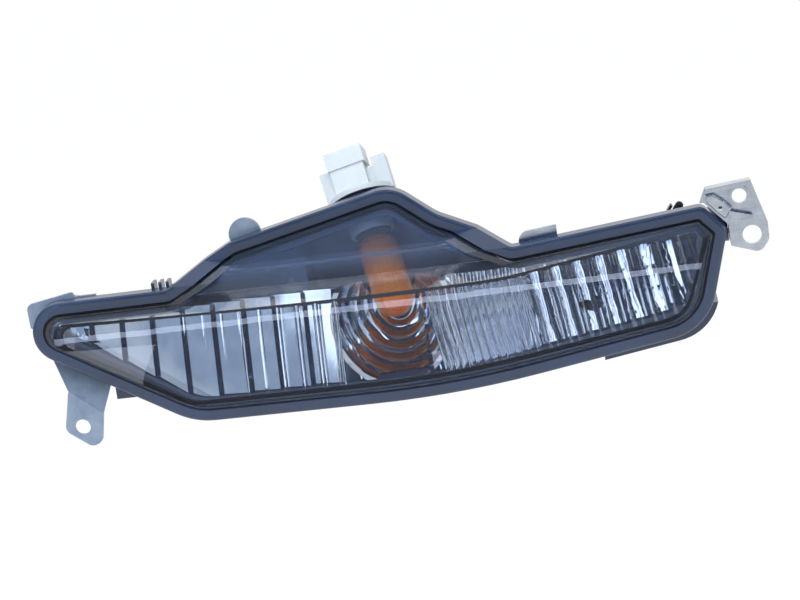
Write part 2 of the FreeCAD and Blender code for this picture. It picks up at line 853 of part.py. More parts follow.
def make_seal(lens):
    """Sealant in the channel round the lens foot."""
    band = ring(whole_outline(), size("rim_width"), size("channel_far"), -20, 90)
    band = band.common(slab(size("seal_front"), size("channel_floor")))
    band = band.cut(lens)
    pieces = band.cut(hump_clearance()).Solids
    return max(pieces, key=lambda piece: piece.Volume)


def bowl_form(offset):
    """Filled bowl with ring-shaped ridges, grown outwards by the offset."""
    rings = int(size("bowl_rings"))
    vertex = size("bowl_vertex_y") + offset
    outer = size("bowl_radius") + offset
    points = []
    for i in range(rings + 1):
        r = outer * i / rings
        points.append(Vector(r, vertex - r * r / (4 * size("bowl_focus")), 0))
    edges = []
    for start, end in zip(points, points[1:]):
        middle = (start + end) * 0.5
        if offset:
            edges.append(Part.makeLine(start, end))
        else:
            across = Vector(end.y - start.y, start.x - end.x, 0).normalize()
            edges.append(Part.Arc(start, middle + across * size("bowl_ring_height"), end).toShape())
    front = Vector(0, -10, 0)
    rim = Vector(points[-1].x, -10, 0)
    edges.append(Part.makeLine(points[-1], rim))
    edges.append(Part.makeLine(rim, front))
    edges.append(Part.makeLine(front, points[0]))
    solid = Part.Face(Part.Wire(edges)).revolve(Vector(0, 0, 0), Y_AXIS, 360)
    solid.translate(Vector(size("bowl_x"), 0, size("bowl_z")))
    return solid


def facet_stations():
    """Left part of the reflector: upright facets that step towards the bowl."""
    left, right = size("facet_left_x"), size("bowl_x") - size("bowl_radius") - 1
    count = int(size("facet_count"))
    width = (right - left) / count
    flank = 0.6
    stations = [(-REACH / 2, size("facet_depth"), 0), (left, size("facet_depth"), 0)]
    for i in range(count):
        near = size("facet_depth") + i * size("facet_step")
        stations.append((left + i * width + flank, near + size("facet_tooth"), 0))
        stations.append((left + (i + 1) * width, near, 0))
    stations.append((right + 2, size("reed_depth"), 0))
    return stations


def reed_stations():
    """Reeded stretch of the reflector right of the bowl."""
    edges = flute_edges()
    start = size("bowl_x") + size("bowl_radius") - 2
    count = int(size("reed_count"))
    width = (edges[-1] - start) / count
    stations = []
    for i in range(count):
        stations.append((start + i * width, size("reed_depth") - size("reed_step") * i, -size("reed_bulge")))
    stations.append((edges[-1], size("reed_depth") - size("reed_step") * count, 0))
    return stations


def pillow_rows():
    """Right part of the reflector: leaning columns of pillows, in rows that step back upwards."""
    edges = flute_edges()
    height = size("pillow_height")
    mid = size("lens_mid_z")
    lean = Vector(-degrees_tan("column_lean"), 0, 1)
    slope = lean + Vector(0, degrees_tan("lens_rake"), 0)
    blocks = []
    for row in range(int(size("pillow_rows"))):
        z = size("pillow_low_z") + row * height
        stations = []
        for i in range(int(size("column_count")) + 2):
            x = edges[-1] + (i - 0.5) * size("column_pitch")
            y = size("pillow_depth") - size("pillow_step") * i + size("pillow_setback") * row
            stations.append((x, y, -size("pillow_bulge")))
        block_edges = []
        for (x0, y0, bulge), (x1, y1, _) in zip(stations, stations[1:]):
            middle = Vector((x0 + x1) / 2, (y0 + y1) / 2 + bulge, 0)
            block_edges.append(Part.Arc(Vector(x0, y0, 0), middle, Vector(x1, y1, 0)).toShape())
        first = Vector(stations[0][0], stations[0][1], 0)
        last = Vector(stations[-1][0], stations[-1][1], 0)
        back = size("reflector_back")
        corner_a, corner_b = Vector(last.x, back, 0), Vector(first.x, back, 0)
        block_edges.append(Part.makeLine(last, corner_a))
        block_edges.append(Part.makeLine(corner_a, corner_b))
        block_edges.append(Part.makeLine(corner_b, first))
        face = Part.Face(Part.Wire(block_edges))
        face.translate(lean * (z - mid) + Vector(0, 0, mid))
        blocks.append(face.extrude(slope * height))
    return blocks


def make_reflector():
    outline = main_outline()
    inset = size("shell_inset") + size("shell_wall") + size("reflector_gap")
    back = size("reflector_back")
    field = prism(outline, inset, size("reflector_front"), back)
    left = field.common(comb(facet_stations() + reed_stations(), 0, size("lens_rake")))
    rows = pillow_rows()
    pillows = rows[0].fuse(rows[1:]).common(field)
    bowl_shell = bowl_form(size("bowl_wall")).common(prism(outline, inset, 4, 60))
    body = left.fuse(pillows).fuse(bowl_shell).cut(bowl_form(0))
    body = body.cut(along_axis(size("glass_radius") + 2.5, -4, 60))
    pin = Vector(size("pin_x"), -20, size("pin_z"))
    body = body.cut(rod(size("pin_radius") + 0.3, pin, Y_AXIS, 60))
    pieces = body.removeSplitter().Solids
    return max(pieces, key=lambda piece: piece.Volume)


def solid_feature(label, shape):
    """A finished piece drawn in the lamp frame."""
    item = doc.addObject("Part::Feature", label)
    item.Label = label
    item.Shape = shape
    item.Placement = lamp_placement()
    return item


def underside_point(along, out):
    """Point beside the rim's sloping underside: distance along it from the left end, and outwards."""
    slope = math.radians(size("underside_angle"))
    radius = size("left_end_radius")
    x = size("left_end_x") + radius - math.sin(slope) * (radius + out) + math.cos(slope) * along
    z = size("rim_top") - radius - math.cos(slope) * (radius + out) - math.sin(slope) * along
    return x, z


def from_leg_hole(across, up):
    return size("leg_hole_x") + size(across), size("leg_hole_z") + size(up)


def make_inner_bracket():
    """Stamped bracket: a hook-shaped plate behind the left end, a corner tab and a joggled leg."""
    thick = size("sheet_thick")
    near = size("rim_depth") + size("bracket_gap")
    left = size("left_end_x")
    plate = ring(main_outline(), -0.5, size("shell_inset") - 0.8, near, near + thick)
    tab = [((left - 2.5, 6), 1), ((left + 14, -4), 1), ((left + 24, 12), 1),
           ((left + 19, size("rim_top") + 2.6), 1), ((left - 2.8, size("rim_top") - 1), 3)]
    plate = plate.fuse(prism(tab, 0, near, near + thick))
    start = size("leg_root_start")
    end = start + size("leg_root_length")
    inside = size("shell_inset") - 2
    root = [underside_point(start, size("leg_root_out")), underside_point(end, size("leg_root_out"))]
    base = [root[0], root[1], underside_point(end, -inside), underside_point(start, -inside)]
    plate = plate.fuse(prism([(c, 0.6) for c in base], 0, near, near + thick))
    plate = plate.cut(prism(main_outline(), size("shell_inset") - 0.8, near - 1, near + thick + 1))
    plate = plate.common(Part.makeBox(36, 60, 120, Vector(left - 6, 0, -80)))
    bend = [from_leg_hole("leg_bend_left", "leg_bend_left_up"), from_leg_hole("leg_bend_right", "leg_bend_right_up")]
    wires = []
    for (a, b), y in ((root, near), (bend, size("leg_plate_y"))):
        points = [Vector(a[0], y, a[1]), Vector(b[0], y, b[1])]
        points += [Vector(b[0], y + thick, b[1]), Vector(a[0], y + thick, a[1])]
        wires.append(Part.makePolygon(points + points[:1]))
    joggle = Part.makeLoft(wires, True, True)
    rounding = size("leg_round")
    foot = [(bend[0], 0.6), (from_leg_hole("leg_left", "leg_left_down"), rounding),
            (from_leg_hole("leg_low", "leg_low_down"), rounding),
            (from_leg_hole("leg_right", "leg_right_down"), rounding), (bend[1], 0.6)]
    leg = prism(foot, 0, size("leg_plate_y"), size("leg_plate_y") + thick)
    hole = Vector(size("leg_hole_x"), size("leg_plate_y") - 1, size("leg_hole_z"))
    body = plate.fuse(joggle).fuse(leg).cut(rod(size("leg_hole_radius"), hole, Y_AXIS, thick + 2))
    for point in leg_screw_points():
        body = body.cut(rod(size("screw_radius") + 0.3, point - Y_AXIS, Y_AXIS, thick + 4))
    return body.removeSplitter()


# Pieces below are document objects whose sizes follow the sheet's cells.

NAMES = set(name for name, _ in SIZES)


def cells(text):
    """An expression with every size name turned into a reference to its cell."""
    return re.sub("[a-z_]+", lambda m: "Sizes." + m.group() if m.group() in NAMES else m.group(), text)


def primitive(kind, name, at=("0", "0", "0"), **props):
    """A Part primitive with bound sizes and a bound position."""
    item = doc.addObject("Part::" + kind, name)
    for prop, text in props.items():
        item.setExpression(prop, cells(text))
    for axis, text in zip("xyz", at):
        item.setExpression("Placement.Base." + axis, cells(text))
    return item


def block(name, wide, deep, tall, at):
    return primitive("Box", name, at, Length=wide, Width=deep, Height=tall)


def drum(name, radius, tall, z, x="0", y="0"):
    return primitive("Cylinder", name, (x, y, z), Radius=radius, Height=tall)


def joined(name, items):
    item = doc.addObject("Part::MultiFuse", name)
    item.Shapes = items
    return item


def removed(name, base, tool):
    item = doc.addObject("Part::Cut", name)
    item.Base = base
    item.Tool = tool
    return item


def finished(item, label, placement):
    item.Label = label
    item.Placement = placement
    PIECES.append(item)


PIECES = []


def make_bulb():
    outer = []
    inner = []
    for name, wall, group in (("glass", "0", outer), ("hollow", "glass_wall", inner)):
        centre = "glass_tip + glass_radius"
        group.append(primitive("Sphere", name + "_tip", ("0", "0", centre), Radius="glass_radius - " + wall))
        group.append(drum(name + "_tube", "glass_radius - " + wall, "glass_shoulder - glass_tip - glass_radius", centre))
        group.append(primitive(
            "Cone", name + "_neck", ("0", "0", "glass_shoulder"), Radius1="glass_radius - " + wall,
            Radius2="glass_neck_radius - " + wall, Height="glass_neck - glass_shoulder"))
    glass = removed("glass_envelope", joined("glass_outer", outer), joined("glass_inner", inner))
    finished(glass, "bulb_glass", axis_placement())

    base = block(
        "wedge_base", "bulb_base_width", "bulb_base_depth", "bulb_base_length",
        ("-bulb_base_width / 2", "-bulb_base_depth / 2", "bulb_base_bottom"))
    skirt = drum("base_skirt", "glass_neck_radius + 0.6", "1.6", "bulb_base_bottom")
    finished(joined("bulb_foot", [base, skirt]), "bulb_base", axis_placement())

    leads = []
    for side, name in (("-", "lead_left"), ("", "lead_right")):
        x = side + "lead_spacing / 2"
        leads.append(drum(name, "lead_radius", "bulb_base_bottom - seal_gap - filament_z", "filament_z", x))
    coil = drum("coil", "filament_radius", "filament_length", "filament_z + 1")
    coil.setExpression("Placement.Base.x", cells("-filament_length / 2"))
    coil.Placement.Rotation = Rotation(Vector(0, 1, 0), 90)
    finished(joined("filament", leads + [coil]), "bulb_filament", axis_placement())


def make_holder():
    top = "holder_disc_bottom + holder_disc_thick"
    tall = "connector_top - holder_disc_bottom"
    left = "connector_offset - connector_width / 2"
    right = "connector_offset + connector_width / 2"
    solids = [
        drum("holder_plug", "holder_radius", "holder_disc_bottom - holder_bottom + 1", "holder_bottom"),
        drum("holder_disc", "holder_disc_radius", "holder_disc_thick", "holder_disc_bottom"),
        block("tower_head", "connector_width", "connector_depth", "connector_head",
              (left, "-connector_depth / 2", "connector_top - connector_head")),
        block("tower_body", "connector_width - 1.8", "connector_depth - 1.6", tall,
              (left + " + 0.6", "-connector_depth / 2 + 0.8", "holder_disc_bottom")),
        block("left_wing", "left_wing_width + 2", "wing_depth", "left_wing_top - holder_disc_bottom",
              (left + " - left_wing_width + 0.6", "-wing_depth / 2", "holder_disc_bottom")),
        block("right_wing", "right_wing_width", "wing_depth", "right_wing_top - holder_disc_bottom",
              (right + " + right_wing_gap", "-wing_depth / 2", "holder_disc_bottom")),
        block("wing_link", "right_wing_gap + 3", "wing_depth - 2", "right_wing_top - 4 - holder_disc_bottom",
              (right + " - 1.6", "-wing_depth / 2 + 1", "holder_disc_bottom")),
    ]
    for i in range(int(size("lug_count"))):
        lug = block("lug_%d" % i, "lug_radius", "lug_width", "lug_thick",
                    ("0", "0", "collar_top - collar_lip - lug_thick - 0.4"))
        turn = Rotation(Vector(0, 0, 1), i * 360 / size("lug_count"))
        lug.Placement.Rotation = turn
        shift = turn.multVec(Vector(0, -0.5, 0))
        lug.setExpression("Placement.Base.x", cells("%.6f * lug_width" % shift.x))
        lug.setExpression("Placement.Base.y", cells("%.6f * lug_width" % shift.y))
        solids.append(lug)
    pockets = [
        drum("cup", "cup_radius", "cup_depth + 1", "holder_bottom - 1"),
        block("mouth", "connector_width - 2 * connector_wall", "connector_depth - 2 * connector_wall",
              "connector_pocket + 1",
              (left + " + connector_wall", "-connector_depth / 2 + connector_wall", "connector_top - connector_pocket")),
    ]
    holder = removed("holder_moulding", joined("holder_solid", solids), joined("holder_pockets", pockets))
    finished(holder, "bulb_holder", axis_placement())

    blades = []
    for side, name in (("-", "blade_left"), ("+", "blade_right")):
        x = "connector_offset %s blade_spacing / 2 - blade_width / 2" % side
        blades.append(block(name, "blade_width", "blade_thick", "blade_length",
                            (x, "-blade_thick / 2", "connector_top - connector_pocket")))
    finished(joined("blades", blades), "holder_terminals", axis_placement())

    washer = removed(
        "washer",
        drum("washer_outer", "seal_outer", "holder_disc_bottom - collar_top - seal_gap", "collar_top + seal_gap"),
        drum("washer_inner", "seal_inner", "10", "collar_top - 2"))
    finished(washer, "holder_seal", axis_placement())


PLANES = {"XY": 3, "XZ": 4, "YZ": 5}


def new_sketch(body, name, plane):
    sketch = body.newObject("Sketcher::SketchObject", name)
    sketch.AttachmentSupport = [(body.Origin.OriginFeatures[PLANES[plane]], "")]
    sketch.MapMode = "FlatFace"
    return sketch


def pinned(sketch, geometry, point, across, up):
    """Hold a point of a sketch at two sheet sizes from the origin."""
    for kind, name in (("DistanceX", across), ("DistanceY", up)):
        index = sketch.addConstraint(Sketcher.Constraint(kind, -1, 1, geometry, point, size(name)))
        sketch.setExpression("Constraints[%d]" % index, cells(name))


def polygon_sketch(body, name, plane, corners):
    sketch = new_sketch(body, name, plane)
    points = [Vector(size(across), size(up), 0) for across, up in corners]
    count = len(points)
    for i in range(count):
        sketch.addGeometry(Part.LineSegment(points[i], points[(i + 1) % count]), False)
    for i in range(count):
        sketch.addConstraint(Sketcher.Constraint("Coincident", i, 2, (i + 1) % count, 1))
    for i, (across, up) in enumerate(corners):
        pinned(sketch, i, 1, across, up)
    return sketch


def circle_sketch(body, name, plane, circles):
    """Circles given as (across, up, radius) size names. None stands for the sketch's origin."""
    sketch = new_sketch(body, name, plane)
    for i, (across, up, radius) in enumerate(circles):
        at_origin = across is None
        centre = Vector(0, 0, 0) if at_origin else Vector(size(across), size(up), 0)
        sketch.addGeometry(Part.Circle(centre, Vector(0, 0, 1), size(radius)), False)
        if at_origin:
            sketch.addConstraint(Sketcher.Constraint("Coincident", i, 3, -1, 1))
        else:
            pinned(sketch, i, 3, across, up)
        index = sketch.addConstraint(Sketcher.Constraint("Radius", i, size(radius)))
        sketch.setExpression("Constraints[%d]" % index, cells(radius))
    return sketch


def pad(body, name, sketch, length, backwards):
    """Pad along Y for sketches on the XZ plane: backwards is +Y."""
    item = body.newObject("PartDesign::Pad", name)
    item.Profile = sketch
    item.setExpression("Length", cells(length))
    item.Reversed = backwards
    doc.recompute()
    return item


def bore(body, name, sketch):
    item = body.newObject("PartDesign::Pocket", name)
    item.Profile = sketch
    item.Type = 1
    item.Midplane = True
    doc.recompute()
    return item


def round_edges(body, name, base, radius, keep):
    """Fillet the edges of a feature that the test keeps."""
    chosen = []
    for i, edge in enumerate(base.Shape.Edges, start=1):
        if keep(edge):
            chosen.append("Edge%d" % i)
    item = body.newObject("PartDesign::Fillet", name)
    item.Base = (base, chosen)
    item.setExpression("Radius", cells(radius))
    doc.recompute()
    return item


def runs_along(edge, axis):
    if edge.Curve.TypeId != "Part::GeomLine":
        return False
    return abs(edge.tangentAt(edge.FirstParameter).dot(axis)) > 0.99


def make_outer_bracket():
    body = doc.addObject("PartDesign::Body", "OuterBracket")
    plate = polygon_sketch(body, "PlateOutline", "XZ", [
        ("plate_left", "plate_low_left"), ("plate_foot", "plate_bottom"), ("plate_right", "plate_low_right"),
        ("plate_right", "plate_high_right"), ("plate_top_right", "plate_top"), ("plate_ear", "plate_ear_top"),
        ("plate_ear_left", "plate_ear_low"), ("plate_chamfer", "plate_ear_low"),
        ("plate_left", "plate_chamfer_low")])
    first = pad(body, "Plate", plate, "sheet_thick", True)

    def low_right(edge):
        middle = edge.CenterOfMass
        return runs_along(edge, Y_AXIS) and middle.z < size("plate_high_right") + 1 and middle.x > size("plate_left") + 1

    round_edges(body, "PlateCorners", first, "plate_round", low_right)
    flange = polygon_sketch(body, "FlangeOutline", "XZ", [
        ("plate_left", "flange_bottom"), ("flange_inner", "flange_bottom"),
        ("flange_inner", "flange_top"), ("plate_left", "flange_top")])
    pad(body, "Flange", flange, "flange_length", True)
    hem = polygon_sketch(body, "HemOutline", "XZ", [
        ("plate_ear", "hem_top_left"), ("plate_top_right", "hem_top_right"),
        ("plate_top_right", "plate_top"), ("plate_ear", "plate_ear_top")])
    pad(body, "Hem", hem, "hem_length", False)
    tongue = polygon_sketch(body, "TongueOutline", "XZ", [
        ("tongue_left", "tongue_left_low"), ("tongue_foot", "tongue_foot_low"), ("tongue_mid", "tongue_mid_low"),
        ("tongue_right", "tongue_right_top"), ("tongue_mid", "tongue_mid_top"),
        ("tongue_crown", "tongue_crown_top"), ("tongue_left", "tongue_left_top")])
    raised = pad(body, "Tongue", tongue, "tongue_rise", False)

    def tongue_front(edge):
        box = edge.BoundBox
        return box.YMax < 0.01 - size("tongue_rise") and box.ZMax < size("hem_top_left") - 0.5

    round_edges(body, "TongueEdges", raised, "tongue_round", tongue_front)
    gusset = polygon_sketch(body, "GussetOutline", "XZ", [
        ("gusset_left", "gusset_low"), ("gusset_right", "gusset_low"),
        ("gusset_right", "gusset_high"), ("gusset_left", "gusset_root")])
    pad(body, "Gusset", gusset, "gusset_reach", False)
    slot = polygon_sketch(body, "SlotOutline", "XZ", [
        ("slot_left", "slot_low"), ("slot_right", "slot_low"), ("slot_right", "slot_high"), ("slot_left", "slot_high")])
    bore(body, "LockSlot", slot)
    coin = circle_sketch(body, "CoinCircle", "XZ", [("second_hole_x", "second_hole_z", "coin_radius")])
    pad(body, "Coin", coin, "coin_height", False)
    holes = circle_sketch(body, "BoltCircles", "XZ", [
        (None, None, "bolt_radius"), ("second_hole_x", "second_hole_z", "second_hole_radius")])
    bore(body, "BoltHoles", holes)
    screws = circle_sketch(body, "ScrewCircles", "YZ", [
        ("flange_screw_y", "flange_screw_low", "flange_screw_bore"),
        ("flange_screw_y", "flange_screw_high", "flange_screw_bore")])
    last = bore(body, "ScrewHoles", screws)
    body.Tip = last
    finished(body, "outer_bracket", Placement())


def make_tabs():
    body = doc.addObject("PartDesign::Body", "CentreTab")
    outline = polygon_sketch(body, "TabOutline", "XZ", [
        ("tab_left_x", "tab_base_z"), ("tab_right_x", "tab_base_z"),
        ("tab_right_x", "tab_top_right_z"), ("tab_left_x", "tab_top_left_z")])
    first = pad(body, "TabPlate", outline, "sheet_thick", True)

    def top_left(edge):
        middle = edge.CenterOfMass
        return runs_along(edge, Y_AXIS) and middle.z > size("tab_base_z") + 1 and middle.x < size("tab_left_x") + 1

    last = round_edges(body, "TabCorner", first, "tab_round", top_left)
    body.Tip = last
    shift = Vector(0, size("rim_depth") + size("bracket_gap"), 0)
    hole = tab_screw_point()
    bored = removed("centre_tab_bored", body, drill("centre_tab_drill", hole))
    finished(bored, "centre_tab", Placement(shift + lamp_origin(), Rotation()))

    disc = primitive("Cylinder", "round_disc", ("0", "0", "0"), Radius="round_tab_radius", Height="sheet_thick")
    disc.Placement = Placement(Vector(0, 0, 0), Rotation(X_AXIS, -90))
    hole = round_tab_screw_point()
    centre = Vector(size("round_tab_x"), hole.y + size("bracket_gap"), size("round_tab_z"))
    bored = removed("round_tab_bored", disc, drill("round_tab_drill", hole - Vector(centre.x, 0, centre.z)))
    finished(bored, "round_tab", Placement(centre + lamp_origin(), Rotation()))


def drill(name, point):
    """Clearance hole for a screw through a tab drawn with its near face at depth zero."""
    item = doc.addObject("Part::Cylinder", name)
    item.setExpression("Radius", cells("screw_radius + 0.3"))
    item.setExpression("Height", cells("sheet_thick + 4"))
    item.Placement = Placement(Vector(point.x, -2, point.z), Rotation(X_AXIS, -90))
    return item


def make_clip():
    """Retaining clip: a leaning pin with a rounded end and a leaning spring plate, on one foot."""
    turn = Rotation(Y_AXIS, size("clip_lean"))
    foot = block("clip_foot_block", "clip_width", "clip_depth", "clip_foot", ("-clip_width / 2", "-clip_depth / 2", "0"))
    root = "clip_foot / 2"
    plate = block("clip_plate", "clip_plate_thick", "clip_depth", "clip_plate_length",
                  ("-clip_width / 2", "-clip_depth / 2", root))
    plate.Placement.Rotation = turn
    pin = drum("clip_pin", "clip_pin_radius", "clip_pin_length", "clip_foot - clip_pin_radius / 2", "clip_pin_x")
    pin.Placement.Rotation = turn
    tip = doc.addObject("Part::Sphere", "clip_pin_tip")
    tip.setExpression("Radius", cells("clip_pin_radius"))
    start = Vector(size("clip_pin_x"), 0, size("clip_foot") - size("clip_pin_radius") / 2)
    tip.Placement.Base = start + turn.multVec(Vector(0, 0, size("clip_pin_length")))
    seat = Vector(size("clip_x"), size("clip_y"), clip_seat_z())
    clip = joined("clip_form", [foot, plate, pin, tip])
    finished(clip, "retaining_clip", Placement(seat + lamp_origin(), Rotation()))


def screw_group(label, points, direction):
    """Pan-head screws, each with its head's underside on the sheet's outer face."""
    turn = Rotation(Vector(0, 0, 1), direction)
    seat = size("sheet_thick") + size("bracket_gap")
    pieces = []
    for i, point in enumerate(points):
        shank = doc.addObject("Part::Cylinder", "%s_shank_%d" % (label, i))
        shank.setExpression("Radius", cells("screw_radius"))
        shank.setExpression("Height", cells("screw_length"))
        shank.Placement = Placement(point + direction * (seat - size("screw_length")), turn)
        head = doc.addObject("Part::Cylinder", "%s_head_%d" % (label, i))
        head.setExpression("Radius", cells("screw_head_radius"))
        head.setExpression("Height", cells("screw_head_height"))
        head.Placement = Placement(point + direction * seat, turn)
        pieces += [shank, head]
    finished(joined(label + "_set", pieces), label, lamp_placement())


def make_pin():
    shank = drum("pin_shank", "pin_radius", "reflector_back - reflector_front - 2", "0")
    spike = drum("pin_spike", "pin_radius - 0.8", "reflector_back - reflector_front + 3", "0")
    pin = joined("pin_form", [shank, spike])
    start = Vector(size("pin_x"), size("reflector_front") + 2, size("pin_z"))
    finished(pin, "reflector_pin", Placement(start + lamp_origin(), Rotation(X_AXIS, -90)))


lens_shape = make_lens()
for label, shape in (
    ("lens", lens_shape),
    ("lens_seal", make_seal(lens_shape)),
    ("housing", make_housing()),
    ("reflector", make_reflector()),
    ("inner_bracket", make_inner_bracket()),
):
    PIECES.append(solid_feature(label, shape))

make_bulb()
make_holder()
make_outer_bracket()
make_tabs()
make_clip()
make_pin()
screw_group("outer_bracket_screws", bracket_screw_points(), X_AXIS)
screw_group("inner_bracket_screws", leg_screw_points(), Y_AXIS)
screw_group("centre_tab_screw", [tab_screw_point()], Y_AXIS)
screw_group("round_tab_screw", [round_tab_screw_point()], Y_AXIS)
doc.recompute()

for item in doc.Objects:
    if "Invalid" in item.State or "Error" in item.State:
        raise RuntimeError("%s did not compute: %s" % (item.Label, item.State))
for item in PIECES:
    if item.Shape.isNull() or not item.Shape.isValid():
        raise RuntimeError("%s has no valid shape" % item.Label)

os.makedirs("parts", exist_ok=True)
for item in PIECES:
    item.Shape.exportStep("parts/%s.step" % item.Label)
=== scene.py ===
import math

import bpy
from mathutils import Matrix, Vector


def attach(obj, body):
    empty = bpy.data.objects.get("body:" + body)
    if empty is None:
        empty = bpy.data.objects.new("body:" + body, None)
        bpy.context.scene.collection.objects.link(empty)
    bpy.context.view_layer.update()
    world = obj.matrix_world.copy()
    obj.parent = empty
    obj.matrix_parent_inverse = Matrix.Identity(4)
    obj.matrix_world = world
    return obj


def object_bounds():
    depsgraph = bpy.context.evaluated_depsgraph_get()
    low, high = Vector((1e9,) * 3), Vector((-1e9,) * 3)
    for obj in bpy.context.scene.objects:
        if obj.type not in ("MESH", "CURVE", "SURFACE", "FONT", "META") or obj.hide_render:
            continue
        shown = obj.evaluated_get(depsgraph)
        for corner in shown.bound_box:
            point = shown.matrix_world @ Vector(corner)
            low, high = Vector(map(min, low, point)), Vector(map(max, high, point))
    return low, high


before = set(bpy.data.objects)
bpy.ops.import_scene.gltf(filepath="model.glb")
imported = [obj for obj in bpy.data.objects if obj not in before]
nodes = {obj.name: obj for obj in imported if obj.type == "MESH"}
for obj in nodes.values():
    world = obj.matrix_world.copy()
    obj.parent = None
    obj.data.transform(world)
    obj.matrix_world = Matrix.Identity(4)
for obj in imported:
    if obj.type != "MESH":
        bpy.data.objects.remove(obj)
cad_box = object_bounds()
scene = bpy.context.scene
scene.view_settings.view_transform = "Standard"

MM = 0.001

# The lens's middle on the rim's front plane, seen from the bracket's bolt hole.
LAMP_MIDDLE = Vector((-159.6, -4.0, -10.8)) * MM

# The camera looks a little down and from the right, and is rolled against the lamp.
VIEW_AZIMUTH = math.radians(6.0)
VIEW_ELEVATION = math.radians(12.0)
VIEW_ROLL = math.radians(8.0)
VIEW_DISTANCE = 1.150
VIEW_LIFT = 0.8 * MM
VIEW_LENS_MM = 115.0
SENSOR_MM = 36.0

# The heights over which the lens turns from the clear main block to the frosted hump, whose bluer tint is painted
# shade that darkens the view through it.
HUMP_PAINTED_SHADE_HEIGHTS = (0.0, 8.0 * MM)
HUMP_FROST_HEIGHTS = (2.0 * MM, 10.0 * MM)

# Beads of sealant as they are laid from the nozzle, squeezed in at the hump's two feet.
BEAD_RADIUS_MM = 1.3
BEAD_END_ROUND_MM = 1.04
BEAD_SIDES = 20
BEAD_END_STEPS = 4
BEAD_EDGE = math.radians(50.0)
LEFT_FOOT_MM = (-243.0, 6.6, 7.6)
LEFT_FOOT_LEAN = 61.0
LEFT_BEAD_LENGTH_MM = 9.0
RIGHT_FOOT_MM = (-126.2, 6.6, 7.0)
RIGHT_FOOT_LEAN = 116.0
RIGHT_BEAD_LENGTH_MM = 12.0

# The studio, in metres and in degrees round from the lens's front and above its level.
FLOOR_DROP = 0.16
FLOOR_SPAN = 14.0
FLOOR_GLOW = 1.03
FLOOR_GLOW_SHARE = 0.95
FILL_STRENGTH = 0.45
CARD_DISTANCE = 1.75
CARD_RISE = 12.0
CARD_HEIGHT = 2.4
SIDE_CARD_TURN = 75.0
SIDE_CARD_WIDTH = 2.1
FLOOR_CARD_PLACE = Vector((-0.16, -0.30, -0.225))
LIGHT_DISTANCE = 1.40
NAVY_FELT = "#1d2a42"
DAYLIGHT = "#e9f0ff"


def linear(code):
    """A colour written as sRGB hex, as the linear values that the shaders take."""
    values = []
    for at in (1, 3, 5):
        share = int(code[at:at + 2], 16) / 255.0
        if share <= 0.04045:
            values.append(share / 12.92)
        else:
            values.append(((share + 0.055) / 1.055) ** 2.4)
    return (values[0], values[1], values[2], 1.0)


def add_node(tree, kind, links=None, values=None, **settings):
    """Adds one node: its settings, its sockets' own values, and the outputs that feed its sockets."""
    node = tree.nodes.new(kind)
    for name, value in settings.items():
        setattr(node, name, value)
    for socket, value in (values or {}).items():
        node.inputs[socket].default_value = value
    for socket, source in (links or {}).items():
        tree.links.new(source, node.inputs[socket])
    return node


def start_material(name, **values):
    """A new material, its tree, its shader with these values, and the place that patterns are read from."""
    material = bpy.data.materials.new(name)
    material.use_nodes = True
    tree = material.node_tree
    shader = tree.nodes["Principled BSDF"]
    for socket, value in values.items():
        shader.inputs[socket.replace("_", " ")].default_value = value
    place = add_node(tree, "ShaderNodeTexCoord").outputs["Object"]
    return material, tree, shader, place


def feed(tree, shader, **sources):
    """Links patterns to the shader's sockets, whose names have an underscore for each space."""
    for socket, source in sources.items():
        tree.links.new(source, shader.inputs[socket.replace("_", " ")])


def noise(tree, place, cell_mm, detail, roughness):
    """Soft noise from 0 to 1, with cells of about this length."""
    scale = 1.0 / (cell_mm * MM)
    node = add_node(
        tree,
        "ShaderNodeTexNoise",
        {"Vector": place},
        {"Scale": scale, "Detail": detail, "Roughness": roughness},
    )
    return node.outputs["Fac"]


def two_tone(tree, share, dark, light, low=0.30, high=0.72):
    """A colour that runs from dark to light while the share runs from low to high."""
    node = add_node(tree, "ShaderNodeValToRGB", {"Fac": share})
    for element, position, code in zip(node.color_ramp.elements, (low, high), (dark, light)):
        element.position = position
        element.color = linear(code)
    return node.outputs["Color"]


def remap(tree, value, source, target):
    """A value taken from one range to another, and held at that range's ends."""
    node = add_node(
        tree,
        "ShaderNodeMapRange",
        {"Value": value},
        {"From Min": source[0], "From Max": source[1], "To Min": target[0], "To Max": target[1]},
    )
    return node.outputs["Result"]


def bump(tree, height, strength, depth_mm):
    """The normals of a surface that is as rough as this height."""
    node = add_node(
        tree, "ShaderNodeBump", {"Height": height}, {"Strength": strength, "Distance": depth_mm * MM}
    )
    return node.outputs["Normal"]


def dress(material, *names):
    """Gives CAD nodes this one material."""
    for name in names:
        mesh = nodes[name].data
        mesh.materials.clear()
        mesh.materials.append(material)


def housing_polypropylene():
    """Moulded talc-filled polypropylene: dark slate and satin, with a fine grain and slight flow clouds."""
    material, tree, shader, place = start_material("moulded_polypropylene", Specular_IOR_Level=0.75)
    clouds = noise(tree, place, cell_mm=34.0, detail=3.0, roughness=0.55)
    grain = noise(tree, place, cell_mm=0.9, detail=2.0, roughness=0.6)
    feed(
        tree,
        shader,
        Base_Color=two_tone(tree, clouds, "#202e45", "#2c3d57"),
        Roughness=remap(tree, clouds, (0.3, 0.7), (0.19, 0.28)),
        Normal=bump(tree, grain, strength=0.10, depth_mm=0.08),
    )
    return material


